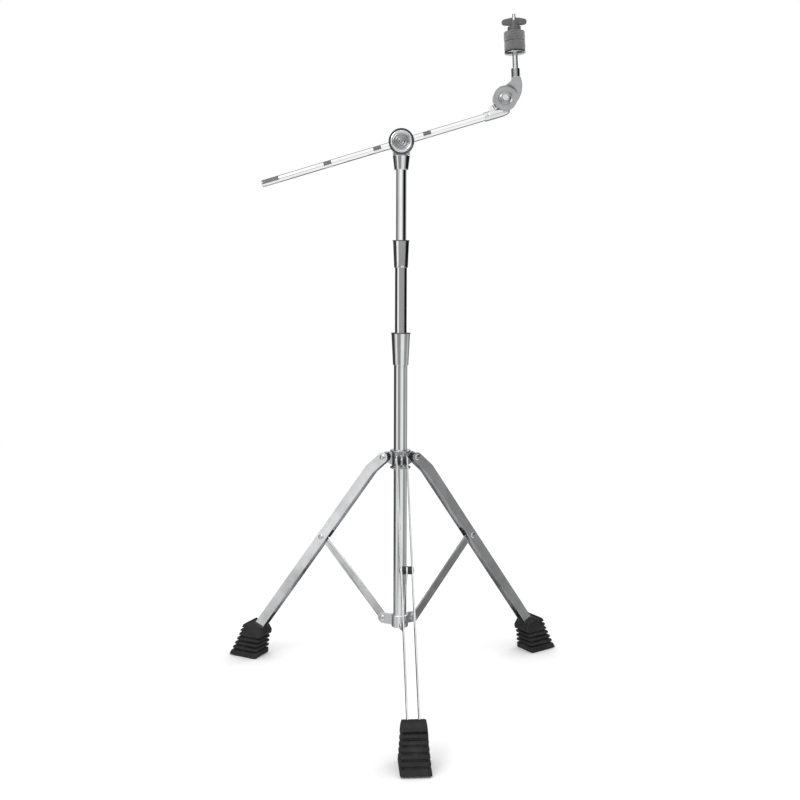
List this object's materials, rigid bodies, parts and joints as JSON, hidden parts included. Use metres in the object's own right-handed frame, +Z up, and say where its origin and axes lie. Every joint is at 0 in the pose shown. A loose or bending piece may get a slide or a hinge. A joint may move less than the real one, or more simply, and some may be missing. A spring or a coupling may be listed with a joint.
{
  "type": "cymbal boom stand",
  "caption": "Folding tripod stand with a telescoping mast, a tilting boom arm and a felt-lined cymbal seat on a second tilter.",
  "frame": {"origin": "on the floor under the axis of the mast", "axes": "+Z up the mast; the boom lies in the XZ plane and rises towards +X; the front leg points at -Y, turned 4 degrees towards +X"},
  "size_m": [0.6861, 0.6189, 1.2479],
  "materials": {
    "chrome_tube": "polished",
    "chrome_bar": "polished",
    "cast_chrome": "satin",
    "zinc_steel": "satin",
    "black_plastic": "matte",
    "black_rubber": "matte",
    "grey_felt": "matte",
    "nut_plastic": "satin"
  },
  "bodies": {
    "base": {"lower_tube": "chrome_tube", "tube_end_plug": "black_plastic", "brace_bracket": "cast_chrome", "bracket_screws": "zinc_steel", "brace_pivot_rivets": "zinc_steel", "lower_height_collar": "cast_chrome"},
    "lower_bush": {"lower_collar_bush": "black_plastic"},
    "lower_lock": {"lower_collar_wing_bolt": "zinc_steel"},
    "leg_slider": {"leg_collar": "cast_chrome", "leg_pivot_rivets": "zinc_steel", "leg_pivot_spacers": "black_plastic"},
    "leg_lock": {"leg_collar_wing_bolt": "zinc_steel"},
    "middle_mast": {"middle_tube": "chrome_tube", "upper_height_collar": "cast_chrome"},
    "upper_bush": {"upper_collar_bush": "black_plastic"},
    "upper_lock": {"upper_collar_wing_bolt": "zinc_steel"},
    "upper_mast": {"upper_tube": "chrome_tube", "tilter_neck": "cast_chrome", "tilter_neck_pin": "zinc_steel"},
    "boom_head": {"boom_clamp_drum": "cast_chrome", "tilter_cap": "cast_chrome", "boom_eye_bolt": "zinc_steel", "tilter_washer": "zinc_steel"},
    "boom_lock": {"tilter_wing_nut": "zinc_steel"},
    "boom_liner": {"boom_liner": "black_plastic"},
    "boom": {"boom_rod": "chrome_tube", "cymbal_tilter_base": "cast_chrome", "tilter_set_screw": "zinc_steel", "cymbal_tilter_bolt": "zinc_steel"},
    "cymbal_lock": {"cymbal_tilter_wing_nut": "zinc_steel"},
    "cymbal_arm": {"cymbal_tilter_arm": "cast_chrome", "cymbal_rod": "zinc_steel", "cup_washer": "zinc_steel", "rubber_washer": "black_rubber", "rod_sleeve": "black_plastic", "lower_felt": "grey_felt", "upper_felt": "grey_felt"},
    "cymbal_nut": {"cymbal_wing_nut": "nut_plastic"},
    "front_leg": {"front_leg_left_bar": "chrome_bar", "front_leg_right_bar": "chrome_bar", "front_brace_pin": "zinc_steel", "front_brace_spacers": "black_plastic", "front_foot": "black_rubber"},
    "front_brace": {"front_brace": "chrome_bar", "front_brace_rivet_head": "zinc_steel"},
    "right_leg": {"right_leg_left_bar": "chrome_bar", "right_leg_right_bar": "chrome_bar", "right_brace_pin": "zinc_steel", "right_brace_spacers": "black_plastic", "right_foot": "black_rubber"},
    "right_brace": {"right_brace": "chrome_bar", "right_brace_rivet_head": "zinc_steel"},
    "left_leg": {"left_leg_left_bar": "chrome_bar", "left_leg_right_bar": "chrome_bar", "left_brace_pin": "zinc_steel", "left_brace_spacers": "black_plastic", "left_foot": "black_rubber"},
    "left_brace": {"left_brace": "chrome_bar", "left_brace_rivet_head": "zinc_steel"}
  },
  "joints": [
    {"name": "tripod_fold", "type": "slide", "parent": "base", "child": "leg_slider", "axis": [0, 0, 1], "range_m": [0, 0.09746]},
    {"name": "leg_lock_turn", "type": "hinge", "parent": "leg_slider", "child": "leg_lock", "pos_m": [0, 0, 0.437], "axis": [-0.0698, 0.9976, 0], "continuous": true},
    {"name": "front_leg_fold", "type": "hinge", "parent": "leg_slider", "child": "front_leg", "pos_m": [0.00223, -0.03192, 0.44], "axis": [0.9976, 0.0698, 0], "range_deg": [0, 33.01]},
    {"name": "front_brace_fold", "type": "hinge", "parent": "front_leg", "child": "front_brace", "pos_m": [0.01172, -0.16759, 0.2705], "axis": [0.9976, 0.0698, 0], "range_deg": [-69.98, 0]},
    {"name": "right_leg_fold", "type": "hinge", "parent": "leg_slider", "child": "right_leg", "pos_m": [0.02653, 0.01789, 0.44], "axis": [-0.5592, 0.829, 0], "range_deg": [0, 33.01]},
    {"name": "right_brace_fold", "type": "hinge", "parent": "right_leg", "child": "right_brace", "pos_m": [0.13928, 0.09394, 0.2705], "axis": [-0.5592, 0.829, 0], "range_deg": [-69.98, 0]},
    {"name": "left_leg_fold", "type": "hinge", "parent": "leg_slider", "child": "left_leg", "pos_m": [-0.02876, 0.01403, 0.44], "axis": [-0.4384, -0.8988, 0], "range_deg": [0, 33.01]},
    {"name": "left_brace_fold", "type": "hinge", "parent": "left_leg", "child": "left_brace", "pos_m": [-0.151, 0.07365, 0.2705], "axis": [-0.4384, -0.8988, 0], "range_deg": [-69.98, 0]},
    {"name": "lower_mast_swivel", "type": "hinge", "parent": "base", "child": "lower_bush", "pos_m": [0, 0, 0.662], "axis": [0, 0, 1], "continuous": true},
    {"name": "middle_mast_slide", "type": "slide", "parent": "lower_bush", "child": "middle_mast", "axis": [0, 0, 1], "range_m": [-0.105, 0.2]},
    {"name": "lower_lock_turn", "type": "hinge", "parent": "base", "child": "lower_lock", "pos_m": [0, 0, 0.662], "axis": [0, 1, 0], "continuous": true},
    {"name": "upper_mast_swivel", "type": "hinge", "parent": "middle_mast", "child": "upper_bush", "pos_m": [0, 0, 0.833], "axis": [0, 0, 1], "continuous": true},
    {"name": "upper_mast_slide", "type": "slide", "parent": "upper_bush", "child": "upper_mast", "axis": [0, 0, 1], "range_m": [-0.115, 0.2]},
    {"name": "upper_lock_turn", "type": "hinge", "parent": "middle_mast", "child": "upper_lock", "pos_m": [0, 0, 0.833], "axis": [0, 1, 0], "continuous": true},
    {"name": "boom_tilt", "type": "hinge", "parent": "upper_mast", "child": "boom_head", "pos_m": [0, 0, 1.022], "axis": [0, 1, 0], "range_deg": [-26, 58]},
    {"name": "boom_lock_turn", "type": "hinge", "parent": "boom_head", "child": "boom_lock", "pos_m": [0, 0, 1.022], "axis": [0, 1, 0], "continuous": true},
    {"name": "boom_roll", "type": "hinge", "parent": "boom_head", "child": "boom_liner", "pos_m": [0, -0.0055, 1.022], "axis": [0.9588, 0, 0.284], "range_deg": [-90, 90]},
    {"name": "boom_slide", "type": "slide", "parent": "boom_liner", "child": "boom", "axis": [0.9588, 0, 0.284], "range_m": [-0.12, 0.18]},
    {"name": "cymbal_tilt", "type": "hinge", "parent": "boom", "child": "cymbal_arm", "pos_m": [0.18697, -0.0055, 1.09991], "axis": [0, 1, 0], "range_deg": [-60, 40]},
    {"name": "cymbal_lock_turn", "type": "hinge", "parent": "boom", "child": "cymbal_lock", "pos_m": [0.18697, -0.0055, 1.09991], "axis": [0, 1, 0], "continuous": true},
    {"name": "cymbal_nut_turn", "type": "hinge", "parent": "cymbal_arm", "child": "cymbal_nut", "pos_m": [0.20785, -0.0055, 1.10091], "axis": [-0.048, 0, 0.9988], "continuous": true}
  ],
  "couplings": [
    {"joint": "front_leg_fold", "follows": "tripod_fold", "rad_per_m": 5.9097},
    {"joint": "front_brace_fold", "follows": "tripod_fold", "rad_per_m": -12.531},
    {"joint": "right_leg_fold", "follows": "tripod_fold", "rad_per_m": 5.9097},
    {"joint": "right_brace_fold", "follows": "tripod_fold", "rad_per_m": -12.531},
    {"joint": "left_leg_fold", "follows": "tripod_fold", "rad_per_m": 5.9097},
    {"joint": "left_brace_fold", "follows": "tripod_fold", "rad_per_m": -12.531}
  ]
}
